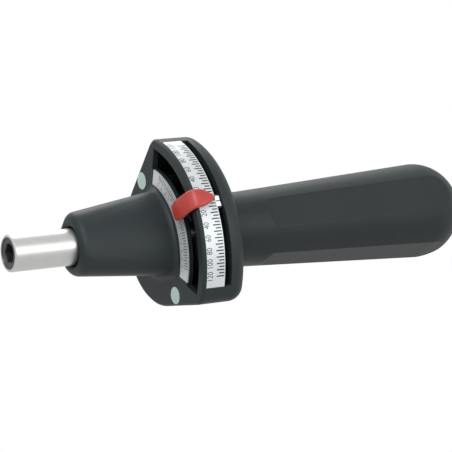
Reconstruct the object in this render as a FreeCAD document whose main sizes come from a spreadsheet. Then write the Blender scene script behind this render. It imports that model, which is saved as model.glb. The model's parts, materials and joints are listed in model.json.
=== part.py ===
import FreeCAD, Part
import math
import os

import Sketcher

# Indicating torque screwdriver.
#
# Tool frame, in which every piece is drawn: X runs along the spindle from the mouth of the hexagon
# socket towards the end of the handle, Z points at the middle of the reading window, and the dial
# centre, about which the window, the scales, the index and the drag pointer all run, lies behind the
# spindle at Z = -dial_offset. The finished pieces are then turned about the spindle, as the tool lies
# on a bench: one flat side of its head faces straight down. X still points to the handle.

SIZES = [
    # name, millimetres or degrees, meaning
    ("sleeve_radius", 6.5, "outside of the bright drive sleeve"),
    ("sleeve_length", 36.0, "drive sleeve, mouth to shoulder"),
    ("socket_radius", 5.6, "dark socket insert, pressed into the sleeve"),
    ("socket_recess", 0.4, "insert below the mouth of the sleeve"),
    ("socket_length", 22.0, "socket insert"),
    ("hex_width", 6.35, "bit hexagon across its flats"),
    ("hex_depth", 13.0, "bit hexagon, depth from the insert's face"),
    ("hex_lead_in", 0.4, "chamfer at the mouth of the hexagon"),
    ("magnet_thickness", 3.0, "magnet at the bottom of the hexagon"),
    ("clip_depth", 4.5, "bit clip behind the insert's face"),
    ("clip_wire", 0.9, "width of the bit clip's groove"),
    ("clip_radial", 0.6, "depth of the bit clip's groove"),
    ("shaft_radius", 4.0, "spindle where it runs in its bushes"),
    ("nose_start", 23.4, "front of the nose"),
    ("nose_front_radius", 10.4, "back of the nose at its front end"),
    ("nose_front_corner", 7.5, "corners of the nose at its front end"),
    ("nose_front_rim", 20.7, "window side of the nose at its front end, from the dial centre"),
    ("nose_root_radius", 13.8, "back of the nose where it meets the head"),
    ("nose_root_corner", 6.0, "corners of the nose where it meets the head"),
    ("nose_window_gap", 0.2, "nose to the front scale where it meets the head"),
    ("nose_round", 3.0, "rounding at the front of the nose"),
    ("nose_fillet", 3.0, "fillet between the nose and the head"),
    ("mouth_radius", 7.0, "bore of the nose round the sleeve"),
    ("mouth_lead_in", 0.8, "chamfer at the mouth of the nose"),
    ("bush_radius", 6.0, "outside of both bushes"),
    ("bush_length", 8.0, "each bush"),
    ("bush_clearance", 0.05, "radial play of the spindle in its bushes"),
    ("washer_thickness", 0.8, "thrust washer between sleeve and front bush"),
    ("head_front", 58.5, "front face of the head"),
    ("head_split", 68.0, "joint between the two halves of the head"),
    ("head_rear", 77.0, "rear face of the head"),
    ("plate_thickness", 2.2, "front plate of the head"),
    ("floor_thickness", 2.6, "rear wall of the head"),
    ("wall", 2.2, "side and rim walls of the head"),
    ("dial_offset", 10.8, "dial centre behind the spindle"),
    ("rim_radius", 41.5, "rim of the head about the dial centre"),
    ("back_radius", 24.6, "back of the head about the spindle"),
    ("flare_angle", 21.0, "flat sides of the head to its middle line"),
    ("corner_radius", 5.4, "corners of the head"),
    ("front_chamfer", 0.7, "edge round the front of the head"),
    ("rear_round", 6.0, "rounding round the rear of the head"),
    ("window_half_angle", 48.0, "front window to each side of zero"),
    ("front_scale_half_angle", 45.8, "front scale to each side of zero"),
    ("front_scale_inner", 25.1, "inner edge of the front scale"),
    ("front_scale_outer", 30.5, "outer edge of the front scale"),
    ("rib_inner", 37.9, "inside of the rib between the windows"),
    ("rear_scale_half_angle", 42.5, "rear scale to each side of zero"),
    ("rear_scale_start", 59.8, "front edge of the rear scale"),
    ("index_slot_start", 67.0, "front edge of the index slot"),
    ("index_slot_width", 2.7, "index slot"),
    ("scale_thickness", 0.5, "both scale plates"),
    ("screw_side", 22.4, "housing screws to each side of the spindle"),
    ("screw_head_radius", 3.1, "housing screw heads"),
    ("screw_head_height", 1.2, "housing screw heads"),
    ("screw_radius", 1.5, "housing screw shanks"),
    ("boss_radius", 3.1, "bosses round the housing screws"),
    ("stem_radius", 8.0, "stem of the rear housing in the handle"),
    ("stem_length", 20.0, "stem of the rear housing in the handle"),
    ("neck_radius", 13.7, "handle at the head"),
    ("neck_length", 15.0, "straight start of the handle"),
    ("handle_radius", 17.9, "handle at its thick end"),
    ("handle_length", 110.4, "handle, head to end"),
    ("flat_half_angle", 24.0, "half of the angle that each grip flat takes"),
    ("flat_start", 23.0, "start of the grip flats behind the head"),
    ("flat_run_out", 3.0, "run-out at the start of a grip flat"),
    ("torsion_radius", 2.0, "torsion bar"),
    ("torsion_grip", 12.0, "torsion bar held in the spindle"),
    ("torsion_play", 0.6, "torsion bar to the walls that it passes"),
    ("anchor_radius", 6.0, "anchor of the torsion bar"),
    ("anchor_length", 12.0, "anchor of the torsion bar"),
    ("anchor_start", 74.0, "anchor of the torsion bar behind the head"),
    ("anchor_pin_radius", 1.0, "cross pin through anchor and bar"),
    ("gear_module", 0.6, "tooth size of drive gear and pinion"),
    ("gear_width", 3.0, "drive gear and pinion"),
    ("gear_start", 63.2, "front face of drive gear and pinion"),
    ("gear_teeth", 24.0, "drive gear"),
    ("tooth_backlash", 0.14, "tooth thinned by this at the pitch circle"),
    ("pivot_radius", 1.5, "pivot pin of the index"),
    ("pivot_clearance", 0.05, "radial play of the index on its pin"),
    ("pivot_boss_radius", 3.0, "bosses that hold the pivot pin"),
    ("hub_radius", 2.7, "hub of the index lever"),
    ("lever_start", 70.3, "front face of the index lever"),
    ("lever_thickness", 1.2, "index lever"),
    ("lever_rim", 2.2, "index lever round its slot"),
    ("lever_half_width", 3.0, "arm of the index lever"),
    ("finger_size", 1.6, "driving finger of the index lever, square"),
    ("index_swing", 37.0, "index to each side at full scale"),
    ("running_gap", 0.3, "gap between pieces that pass each other"),
    ("flag_half_angle", 3.6, "index flag"),
    ("flag_height", 2.6, "index flag, radially"),
    ("pointer_width", 6.6, "drag pointer along the scale"),
    ("pointer_front", 3.8, "drag pointer in front of the head"),
    ("pointer_rise", 2.6, "drag pointer above the rim"),
    ("pointer_inner", 30.1, "inner end of the drag pointer's thumb block"),
    ("pointer_foot", 2.8, "foot of the drag pointer, radially"),
    ("pointer_angle", -1.0, "drag pointer at rest, from zero"),
    ("spring_thickness", 0.3, "friction spring of the drag pointer"),
    ("ring_thickness", 0.8, "retaining ring"),
    ("ring_radius", 6.0, "retaining ring"),
]

# ---------------------------------------------------------------- sizes and expressions


class Dim:
    """A size worked out from the sheet: the text that binds a property to it, and its value."""

    def __init__(self, text, value):
        self.text = text
        self.value = value

    def __add__(self, other):
        other = dim(other)
        return Dim(f"({self.text} + {other.text})", self.value + other.value)

    def __radd__(self, other):
        return dim(other) + self

    def __sub__(self, other):
        other = dim(other)
        return Dim(f"({self.text} - {other.text})", self.value - other.value)

    def __rsub__(self, other):
        return dim(other) - self

    def __mul__(self, other):
        other = dim(other)
        return Dim(f"({self.text} * {other.text})", self.value * other.value)

    def __rmul__(self, other):
        return dim(other) * self

    def __truediv__(self, other):
        other = dim(other)
        return Dim(f"({self.text} / {other.text})", self.value / other.value)

    def __neg__(self):
        return Dim(f"(0 - {self.text})", -self.value)


def dim(value):
    return value if isinstance(value, Dim) else Dim(repr(float(value)), float(value))


def cos(angle):
    return Dim(f"cos({angle.text} * 1 deg)", math.cos(math.radians(angle.value)))


def sin(angle):
    return Dim(f"sin({angle.text} * 1 deg)", math.sin(math.radians(angle.value)))


def root(value):
    return Dim(f"sqrt({value.text})", math.sqrt(value.value))


def make_sheet(doc):
    """Writes the driving sizes to the document's sheet and returns them as Dim values by name."""
    sheet = doc.addObject("Spreadsheet::Sheet", "Sizes")
    sizes = {}
    for row, (name, value, meaning) in enumerate(SIZES, start=1):
        sheet.set(f"A{row}", meaning)
        sheet.set(f"B{row}", str(value))
        sheet.setAlias(f"B{row}", name)
        sizes[name] = Dim(f"Sizes.{name}", value)
    doc.recompute()
    return sizes


doc = FreeCAD.newDocument("torque_screwdriver")
size = make_sheet(doc)
parts = []


def bind(feature, name, value):
    """Binds a property of a feature to a size."""
    feature.setExpression(name, dim(value).text)


# ---------------------------------------------------------------- sketches and features


def new_body(label):
    body = doc.addObject("PartDesign::Body", label)
    body.Label = label
    parts.append(body)
    return body


def add_sketch(body, name, role, offset=None):
    """A sketch on one of the body's origin planes, moved along the plane's normal by offset."""
    sketch = body.newObject("Sketcher::SketchObject", name)
    plane = [f for f in body.Origin.OriginFeatures if f.Role == role][0]
    sketch.AttachmentSupport = [(plane, "")]
    sketch.MapMode = "FlatFace"
    if offset is not None:
        bind(sketch, "AttachmentOffset.Base.z", offset)
    return sketch


def constrain(sketch, kind, *where, value=None, angle=False):
    """Adds a constraint, bound to a size where it has one."""
    if value is None:
        return sketch.addConstraint(Sketcher.Constraint(kind, *where))
    value = dim(value)
    start = math.radians(value.value) if angle else value.value
    index = sketch.addConstraint(Sketcher.Constraint(kind, *where, start))
    sketch.setExpression(f"Constraints[{index}]", f"{value.text} * 1 deg" if angle else value.text)
    return index


def place_point(sketch, geometry, end, across, up):
    """Fixes a point of a sketch at (across, up) from the origin."""
    for kind, axis, value in (("DistanceX", -2, dim(across)), ("DistanceY", -1, dim(up))):
        if abs(value.value) < 1e-9:
            constrain(sketch, "PointOnObject", geometry, end, axis)
        else:
            constrain(sketch, kind, -1, 1, geometry, end, value=value)


def draw_outline(sketch, points):
    """A closed outline of straight edges through points given as (across, up)."""
    corners = [FreeCAD.Vector(dim(a).value, dim(u).value, 0) for a, u in points]
    lines = [
        sketch.addGeometry(Part.LineSegment(corners[i], corners[(i + 1) % len(corners)]))
        for i in range(len(corners))
    ]
    for i, line in enumerate(lines):
        constrain(sketch, "Coincident", line, 2, lines[(i + 1) % len(lines)], 1)
    for line, (across, up) in zip(lines, points):
        place_point(sketch, line, 1, across, up)


def draw_circle(sketch, across, up, radius):
    centre = FreeCAD.Vector(dim(across).value, dim(up).value, 0)
    circle = sketch.addGeometry(Part.Circle(centre, FreeCAD.Vector(0, 0, 1), dim(radius).value))
    place_point(sketch, circle, 3, across, up)
    constrain(sketch, "Radius", circle, value=radius)


def arc(centre, radius, start, end):
    """An arc about centre, counter-clockwise between two angles in degrees."""
    circle = Part.Circle(FreeCAD.Vector(centre[0], centre[1], 0), FreeCAD.Vector(0, 0, 1), radius)
    return Part.ArcOfCircle(circle, math.radians(start), math.radians(end))


def draw_ring_sector(sketch, inner, outer, half_angle, centre_up=None):
    """A piece of a ring about the dial centre, to both sides of the middle line."""
    up = -size["dial_offset"] if centre_up is None else dim(centre_up)
    low, high = 90 - half_angle.value, 90 + half_angle.value
    rings = []
    for radius in (inner, outer):
        ring = sketch.addGeometry(arc((0, up.value), dim(radius).value, low, high))
        place_point(sketch, ring, 3, 0, up)
        constrain(sketch, "Radius", ring, value=radius)
        rings.append(ring)
    for end, angle in ((1, 90 - half_angle), (2, 90 + half_angle)):
        turned = math.radians(angle.value)
        points = [
            FreeCAD.Vector(r * math.cos(turned), up.value + r * math.sin(turned), 0)
            for r in (dim(inner).value, dim(outer).value)
        ]
        side = sketch.addGeometry(Part.LineSegment(*points))
        constrain(sketch, "Coincident", side, 1, rings[0], end)
        constrain(sketch, "Coincident", side, 2, rings[1], end)
        constrain(sketch, "PointOnObject", rings[0], 3, side)
        constrain(sketch, "Angle", -1, 1, side, 1, value=angle, angle=True)


def draw_flared_outline(sketch, rim_size, back_size, corner_size):
    """The section of head and nose, seen along the spindle: a rim about the dial centre, a round back
    about the spindle, flat sides that touch the back, and rounded corners."""
    flare = math.radians(size["flare_angle"].value)
    rim, back, corner = rim_size.value, back_size.value, corner_size.value
    dial = size["dial_offset"].value
    # the corner's centre lies on the rim's circle and the flat side's line, both drawn in by its radius
    reach, side = rim - corner, back - corner
    swing = flare + math.asin((side - dial * math.sin(flare)) / reach)
    corner_across, corner_up = reach * math.sin(swing), reach * math.cos(swing) - dial
    side_angle = -math.degrees(flare)
    rim_angle = 90 - math.degrees(swing)
    rim_arc = sketch.addGeometry(arc((0, -dial), rim, rim_angle, 180 - rim_angle))
    corners = [
        sketch.addGeometry(arc((corner_across, corner_up), corner, side_angle, rim_angle)),
        sketch.addGeometry(arc((-corner_across, corner_up), corner, 180 - rim_angle, 180 - side_angle)),
    ]
    back_arc = sketch.addGeometry(arc((0, 0), back, 180 - side_angle, 360 + side_angle))
    sides = []
    for sign in (1, -1):
        normal = FreeCAD.Vector(sign * math.cos(flare), -math.sin(flare), 0)
        start = FreeCAD.Vector(sign * corner_across, corner_up, 0) + normal * corner
        sides.append(sketch.addGeometry(Part.LineSegment(start, normal * back)))
    place_point(sketch, rim_arc, 3, 0, -size["dial_offset"])
    place_point(sketch, back_arc, 3, 0, 0)
    constrain(sketch, "Tangent", rim_arc, 1, corners[0], 2)
    constrain(sketch, "Tangent", rim_arc, 2, corners[1], 1)
    constrain(sketch, "Tangent", corners[0], 1, sides[0], 1)
    constrain(sketch, "Tangent", corners[1], 2, sides[1], 1)
    constrain(sketch, "Tangent", sides[0], 2, back_arc, 2)
    constrain(sketch, "Tangent", sides[1], 2, back_arc, 1)
    constrain(sketch, "Radius", rim_arc, value=rim_size)
    constrain(sketch, "Radius", back_arc, value=back_size)
    for piece in corners:
        constrain(sketch, "Radius", piece, value=corner_size)
    constrain(sketch, "Angle", sides[0], value=-90 - size["flare_angle"], angle=True)
    constrain(sketch, "Angle", sides[1], value=size["flare_angle"] - 90, angle=True)


def draw_head_outline(sketch, inset):
    rim, back, corner = size["rim_radius"], size["back_radius"], size["corner_radius"]
    draw_flared_outline(sketch, rim - inset, back - inset, corner - inset)


def pad(body, sketch, name, length, reverse=False, middle=False):
    feature = body.newObject("PartDesign::Pad", name)
    feature.Profile = sketch
    bind(feature, "Length", length)
    feature.Reversed = reverse
    feature.Midplane = middle
    doc.recompute()
    return feature


def pocket(body, sketch, name, length, reverse=True, middle=False):
    """A cut along the sketch's normal, checked to have taken something away."""
    before = body.Shape.Volume
    feature = body.newObject("PartDesign::Pocket", name)
    feature.Profile = sketch
    bind(feature, "Length", length)
    feature.Reversed = reverse
    feature.Midplane = middle
    doc.recompute()
    if body.Shape.Volume > before - 1e-6:
        raise RuntimeError(f"{name} cuts nothing")
    return feature


def revolve(body, points, name, cut=False):
    """Turns an outline in the XZ plane, given as (along X, radius), about the X axis."""
    sketch = add_sketch(body, f"{name}_outline", "XZ_Plane")
    draw_outline(sketch, points)
    feature = body.newObject("PartDesign::Groove" if cut else "PartDesign::Revolution", name)
    feature.Profile = sketch
    feature.ReferenceAxis = (sketch, ["H_Axis"])
    feature.Angle = 360
    doc.recompute()
    return feature


def edges_where(feature, test):
    """The names of a feature's edges that pass a test."""
    return [f"Edge{i}" for i, edge in enumerate(feature.Shape.Edges, start=1) if test(edge)]


def dress(body, kind, name, test, radius):
    """A fillet or chamfer on the edges of the body's tip that pass a test."""
    base = body.Tip
    names = edges_where(base, test)
    if not names:
        raise RuntimeError(f"{name} finds no edge")
    feature = body.newObject(f"PartDesign::{kind}", name)
    feature.Base = (base, names)
    bind(feature, "Radius" if kind == "Fillet" else "Size", radius)
    doc.recompute()
    return feature


def in_plane(position):
    """A test for edges that lie in one plane across the spindle."""
    at = dim(position).value

    def test(edge):
        points = edge.discretize(5)
        return all(abs(point.x - at) < 1e-3 for point in points)

    return test


def circle_at(position, radius):
    """A test for round edges about the spindle at one place along it."""
    at = in_plane(position)
    wanted = dim(radius).value

    def test(edge):
        curve = edge.Curve
        return (
            at(edge)
            and isinstance(curve, Part.Circle)
            and abs(curve.Radius - wanted) < 1e-4
            and abs(curve.Center.z) < 1e-4
            and abs(curve.Center.y) < 1e-4
        )

    return test


def turned(label, points):
    """A piece turned about the spindle's axis."""
    body = new_body(label)
    revolve(body, points, f"{label}_turning")
    return body


# ---------------------------------------------------------------- spindle


def make_drive_sleeve():
    bore, outside, length = size["socket_radius"], size["sleeve_radius"], size["sleeve_length"]
    body = turned("drive_sleeve", [(0, bore), (length, bore), (length, outside), (0, outside)])
    dress(body, "Chamfer", "mouth_chamfer", circle_at(0, outside), 0.3)
    return body


def make_hex_socket():
    start = size["socket_recess"]
    end = start + size["socket_length"]
    outside = size["socket_radius"]
    body = new_body("hex_socket")
    revolve(body, [(start, 0), (end, 0), (end, outside), (start, outside)], "socket_blank")
    across = size["hex_width"] / 2 / cos(dim(30))
    sketch = add_sketch(body, "hexagon", "YZ_Plane", start)
    angles = [dim(60.0 * i) for i in range(6)]
    draw_outline(sketch, [(across * cos(a), across * sin(a)) for a in angles])
    pocket(body, sketch, "hexagon_cut", size["hex_depth"])
    lead = size["hex_lead_in"]
    mouth = across
    revolve(body, [(start, 0), (start + lead, 0), (start + lead, mouth - lead), (start, mouth)], "lead_in", cut=True)
    groove = start + size["clip_depth"]
    revolve(
        body,
        [
            (groove, 0),
            (groove + size["clip_wire"], 0),
            (groove + size["clip_wire"], across + size["clip_radial"]),
            (groove, across + size["clip_radial"]),
        ],
        "clip_groove",
        cut=True,
    )
    floor = start + size["hex_depth"]
    seat = size["hex_width"] / 2
    revolve(
        body,
        [(floor, 0), (floor + size["magnet_thickness"], 0), (floor + size["magnet_thickness"], seat), (floor, seat)],
        "magnet_seat",
        cut=True,
    )
    return body


def make_bit_magnet():
    start = size["socket_recess"] + size["hex_depth"]
    end = start + size["magnet_thickness"]
    return turned("bit_magnet", [(start, 0), (end, 0), (end, size["hex_width"] / 2), (start, size["hex_width"] / 2)])


def make_bit_clip():
    """An open wire ring that snaps into the groove of the hexagon."""
    start = size["socket_recess"] + size["clip_depth"]
    outside = size["hex_width"] / 2 / cos(dim(30)) + size["clip_radial"]
    body = new_body("bit_clip")
    sketch = add_sketch(body, "clip_shape", "YZ_Plane", start)
    draw_ring_sector(sketch, outside - size["clip_radial"] * 1.6, outside, dim(160), 0)
    pad(body, sketch, "clip_body", size["clip_wire"])
    return body


def make_spindle_shaft():
    """Plug in the sleeve, bearing length, and a bore that takes the torsion bar."""
    start = size["socket_recess"] + size["socket_length"]
    step = size["sleeve_length"]
    end = size["gear_start"] + size["gear_width"]
    bore = size["torsion_radius"] + size["bush_clearance"]
    return turned(
        "spindle_shaft",
        [
            (start, 0),
            (end - size["torsion_grip"], 0),
            (end - size["torsion_grip"], bore),
            (end, bore),
            (end, size["shaft_radius"]),
            (step, size["shaft_radius"]),
            (step, size["socket_radius"]),
            (start, size["socket_radius"]),
        ],
    )


def gear_blank(body, label, start, width, inner, outer):
    sketch = add_sketch(body, f"{label}_disc", "YZ_Plane", start)
    draw_circle(sketch, 0, 0, outer)
    draw_circle(sketch, 0, 0, inner)
    pad(body, sketch, f"{label}_blank", width)


def make_gear(label, teeth, bore, towards):
    """A spur gear about its own centre, with one tooth or one gap pointing along Z."""
    module = size["gear_module"]
    pitch = module * teeth / 2
    foot = pitch - module * 1.25
    tip = pitch + module * 0.9
    body = new_body(label)
    gear_blank(body, label, size["gear_start"], size["gear_width"], bore, foot)
    sketch = add_sketch(body, f"{label}_tooth_shape", "YZ_Plane", size["gear_start"])
    half = module * (math.pi / 4) - size["tooth_backlash"] / 2
    wide, narrow = half + module * 0.42, half - module * 0.34
    inside = foot - 0.15
    draw_outline(sketch, [(-wide, inside), (-narrow, tip), (narrow, tip), (wide, inside)])
    tooth = pad(body, sketch, f"{label}_tooth", size["gear_width"])
    pattern = body.newObject("PartDesign::PolarPattern", f"{label}_teeth")
    pattern.Originals = [tooth]
    pattern.Axis = (sketch, ["N_Axis"])
    pattern.Angle = 360
    pattern.setExpression("Occurrences", dim(teeth).text)
    body.Tip = pattern
    doc.recompute()
    return body


def make_retaining_ring():
    """An open ring that holds the spindle against the rear bush."""
    body = new_body("retaining_ring")
    start = size["head_front"] + size["plate_thickness"] + size["running_gap"]
    sketch = add_sketch(body, "ring_shape", "YZ_Plane", start)
    draw_ring_sector(sketch, size["shaft_radius"], size["ring_radius"], dim(150), 0)
    pad(body, sketch, "ring_body", size["ring_thickness"])
    return body


def make_thrust_washer():
    start = size["sleeve_length"]
    end = start + size["washer_thickness"]
    inner, outer = size["shaft_radius"], size["bush_radius"]
    return turned("thrust_washer", [(start, inner), (end, inner), (end, outer), (start, outer)])


# ---------------------------------------------------------------- housing


def front_bush_start():
    return size["sleeve_length"] + size["washer_thickness"] + size["running_gap"] / 2


def rear_bush_start():
    return size["head_front"] + size["plate_thickness"] - size["bush_length"]


def make_bush(label, start):
    end = start + size["bush_length"]
    inner, outer = size["shaft_radius"] + size["bush_clearance"], size["bush_radius"]
    return turned(label, [(start, inner), (end, inner), (end, outer), (start, outer)])


def cut_ring_sector(body, name, start, length, inner, outer, half_angle):
    sketch = add_sketch(body, f"{name}_shape", "YZ_Plane", start)
    draw_ring_sector(sketch, inner, outer, half_angle)
    pocket(body, sketch, name, length)


def cut_round(body, name, start, length, radius, centres):
    sketch = add_sketch(body, f"{name}_shape", "YZ_Plane", start)
    for across, up in centres:
        draw_circle(sketch, across, up, radius)
    pocket(body, sketch, name, length)


def add_round(body, name, start, length, radius, centres):
    sketch = add_sketch(body, f"{name}_shape", "YZ_Plane", start)
    for across, up in centres:
        draw_circle(sketch, across, up, radius)
    pad(body, sketch, name, length)


def screw_centres():
    return [(size["screw_side"], 0), (-size["screw_side"], 0)]


def pivot_centre():
    return [(0, -size["dial_offset"])]


def add_nose(body, start, end):
    """A loft from a nearly round front end to a flared root that follows the front scale."""
    front, back = size["nose_front_radius"], size["nose_root_radius"]
    rim = size["front_scale_inner"] - size["nose_window_gap"]
    small = add_sketch(body, "nose_front_section", "YZ_Plane", start)
    draw_flared_outline(small, size["nose_front_rim"], front, size["nose_front_corner"])
    large = add_sketch(body, "nose_root_section", "YZ_Plane", end)
    draw_flared_outline(large, rim, back, size["nose_root_corner"])
    loft = body.newObject("PartDesign::AdditiveLoft", "nose")
    loft.Profile = small
    loft.Sections = [large]
    loft.Ruled = True
    doc.recompute()


def make_front_housing():
    """Nose, front plate with its window, and the rib that carries the rear scale."""
    body = new_body("front_housing")
    front, split = size["head_front"], size["head_split"]
    inside = front + size["plate_thickness"]
    outline = add_sketch(body, "front_outline", "YZ_Plane", front)
    draw_head_outline(outline, dim(0))
    pad(body, outline, "front_block", split - front)
    dress(body, "Chamfer", "front_edge", in_plane(front), size["front_chamfer"])
    cavity = add_sketch(body, "front_cavity_outline", "YZ_Plane", inside)
    draw_head_outline(cavity, size["wall"])
    pocket(body, cavity, "front_cavity", split - inside)
    # rib under the rear scale, standing on the front plate at both ends of the window
    rib = add_sketch(body, "rib_shape", "YZ_Plane", front + size["front_chamfer"])
    draw_ring_sector(rib, size["rib_inner"], size["rim_radius"] - 1, size["window_half_angle"] + 1.5)
    pad(body, rib, "rib", size["index_slot_start"] - front - size["front_chamfer"])
    add_round(body, "screw_bosses", inside, split - inside, size["boss_radius"], screw_centres())
    add_round(body, "pivot_boss", inside, size["running_gap"] * 2, size["pivot_boss_radius"], pivot_centre())
    nose = size["nose_start"]
    add_nose(body, nose, inside)
    dress(body, "Fillet", "nose_rounding", in_plane(nose), size["nose_round"])
    at_front = in_plane(front)
    nose_reach = size["back_radius"].value - size["corner_radius"].value

    def nose_root(edge):
        return at_front(edge) and all(math.hypot(p.y, p.z) < nose_reach for p in edge.discretize(5))

    dress(body, "Fillet", "nose_fillet", nose_root, size["nose_fillet"])
    washer_end = front_bush_start()
    bush_end = washer_end + size["bush_length"]
    passage = size["shaft_radius"] + size["torsion_play"]
    mouth, bush = size["mouth_radius"], size["bush_radius"]
    lead = size["mouth_lead_in"]
    revolve(
        body,
        [
            (nose, 0),
            (inside, 0),
            (inside, bush),
            (rear_bush_start(), bush),
            (rear_bush_start(), passage),
            (bush_end, passage),
            (bush_end, bush),
            (washer_end, bush),
            (washer_end, mouth),
            (nose + lead, mouth),
            (nose, mouth + lead),
        ],
        "nose_bore",
        cut=True,
    )
    whole = split - front
    cut_ring_sector(
        body, "front_window", front, whole, size["front_scale_outer"], size["rib_inner"], size["window_half_angle"]
    )
    slot = size["index_slot_start"]
    beyond = size["rim_radius"] + 1
    cut_ring_sector(
        body, "index_slot", slot, split - slot, size["rib_inner"], beyond, size["rear_scale_half_angle"]
    )
    cut_ring_sector(
        body,
        "rear_scale_seat",
        size["rear_scale_start"],
        slot - size["rear_scale_start"],
        size["rim_radius"] - size["scale_thickness"],
        size["rim_radius"] + 1,
        size["rear_scale_half_angle"],
    )
    cut_ring_sector(
        body,
        "front_scale_seat",
        front - size["nose_fillet"],
        size["nose_fillet"] + size["scale_thickness"],
        size["front_scale_inner"],
        size["front_scale_outer"] + 0.01,
        size["front_scale_half_angle"],
    )
    cut_round(body, "screw_head_seats", front, size["screw_head_height"], size["screw_head_radius"], screw_centres())
    cut_round(body, "screw_holes", front, split - front, size["screw_radius"], screw_centres())
    cut_round(body, "pivot_hole", inside - 1, dim(1) + size["running_gap"] * 2, size["pivot_radius"], pivot_centre())
    return body


def make_rear_housing():
    """Rear half of the head, with the stem that carries the handle."""
    body = new_body("rear_housing")
    split, rear = size["head_split"], size["head_rear"]
    floor = rear - size["floor_thickness"]
    outline = add_sketch(body, "rear_outline", "YZ_Plane", split)
    draw_head_outline(outline, dim(0))
    pad(body, outline, "rear_block", rear - split)
    dress(body, "Fillet", "rear_rounding", in_plane(rear), size["rear_round"])
    cavity = add_sketch(body, "rear_cavity_outline", "YZ_Plane", split)
    draw_head_outline(cavity, size["wall"])
    pocket(body, cavity, "rear_cavity", floor - split)
    add_round(body, "rear_screw_bosses", split, floor - split, size["boss_radius"], screw_centres())
    lever_end = size["lever_start"] + size["lever_thickness"] + size["running_gap"]
    add_round(body, "rear_pivot_boss", lever_end, floor - lever_end, size["pivot_boss_radius"], pivot_centre())
    add_round(body, "stem", rear - 0.5, size["stem_length"] + 0.5, size["stem_radius"], [(0, 0)])
    cut_ring_sector(
        body,
        "rear_index_slot",
        split,
        size["index_slot_start"] + size["index_slot_width"] - split,
        size["rib_inner"],
        size["rim_radius"] + 1,
        size["rear_scale_half_angle"],
    )
    passage = size["torsion_radius"] + size["torsion_play"]
    cut_round(body, "bar_passage", floor - 0.5, rear + size["stem_length"] - floor + 1, passage, [(0, 0)])
    cut_round(body, "rear_screw_holes", split, floor - split, size["screw_radius"], screw_centres())
    cut_round(body, "rear_pivot_hole", lever_end, floor - lever_end + 1, size["pivot_radius"], pivot_centre())
    return body


def make_handle_grip():
    """Handle: a straight neck, a long taper, a round end, and four flats in line with the window."""
    body = new_body("handle_grip")
    start = size["head_rear"]
    end = start + size["handle_length"]
    thick, neck = size["handle_radius"], size["neck_radius"]
    stem_end = start + size["stem_length"]
    round_start = end - thick
    passage = size["torsion_radius"] + size["torsion_play"]
    anchor, anchor_end = start + size["anchor_start"], start + size["anchor_start"] + size["anchor_length"]
    revolve(
        body,
        [
            (start, size["stem_radius"]),
            (stem_end, size["stem_radius"]),
            (stem_end, passage),
            (anchor, passage),
            (anchor, size["anchor_radius"]),
            (anchor_end, size["anchor_radius"]),
            (anchor_end, 0),
            (end, 0),
            (end, thick),
            (round_start, thick),
            (start + size["neck_length"], neck),
            (start, neck),
        ],
        "handle_turning",
    )
    dress(body, "Fillet", "handle_end", circle_at(end, thick), thick - 0.02)
    # one flat, cut parallel to the taper, and three more round the handle
    flat = add_sketch(body, "flat_section", "XZ_Plane")
    share = cos(size["flat_half_angle"])
    taper = (thick - neck) / (round_start - start - size["neck_length"])
    flat_start = start + size["flat_start"]
    level = (neck + taper * (flat_start - start - size["neck_length"])) * share
    run_out = flat_start - size["flat_run_out"]
    high = thick + 4
    draw_outline(
        flat,
        [
            (flat_start, level),
            (round_start, thick * share),
            (end, thick * share),
            (end, high),
            (run_out, high),
            (run_out, level / share + 0.2),
        ],
    )
    cut = pocket(body, flat, "flat", size["handle_radius"] * 2, middle=True)
    pattern = body.newObject("PartDesign::PolarPattern", "flats")
    pattern.Originals = [cut]
    pattern.Axis = (flat, ["H_Axis"])
    pattern.Angle = 360
    pattern.Occurrences = 4
    body.Tip = pattern
    doc.recompute()
    return body


def make_housing_screw(label):
    """A flat-headed screw along X, about its own centre line."""
    front = size["head_front"]
    neck = front + size["screw_head_height"]
    end = size["head_rear"] - size["floor_thickness"]
    shank, head = size["screw_radius"], size["screw_head_radius"]
    return turned(label, [(front, 0), (end, 0), (end, shank), (neck, shank), (neck, head), (front, head)])


def make_scale(label, start, width, inner, outer, half_angle):
    body = new_body(label)
    sketch = add_sketch(body, f"{label}_shape", "YZ_Plane", start)
    draw_ring_sector(sketch, inner, outer, half_angle)
    pad(body, sketch, f"{label}_plate", width)
    return body


def make_torsion_bar():
    start = size["gear_start"] + size["gear_width"] - size["torsion_grip"] + size["running_gap"]
    end = size["head_rear"] + size["anchor_start"] + size["anchor_length"]
    return turned("torsion_bar", [(start, 0), (end, 0), (end, size["torsion_radius"]), (start, size["torsion_radius"])])


def make_torsion_anchor():
    start = size["head_rear"] + size["anchor_start"]
    end = start + size["anchor_length"]
    inner, outer = size["torsion_radius"], size["anchor_radius"]
    body = turned("torsion_anchor", [(start, inner), (end, inner), (end, outer), (start, outer)])
    sketch = add_sketch(body, "pin_hole_shape", "XZ_Plane")
    draw_circle(sketch, start + size["anchor_length"] / 2, 0, size["anchor_pin_radius"])
    pocket(body, sketch, "pin_hole", outer * 2, middle=True)
    return body


# ---------------------------------------------------------------- index and drag pointer


def make_pivot_pin():
    start = size["head_front"] + size["plate_thickness"] - 1
    end = size["head_rear"] - size["floor_thickness"] + 1
    return turned("index_pivot_pin", [(start, 0), (end, 0), (end, size["pivot_radius"]), (start, size["pivot_radius"])])


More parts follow.
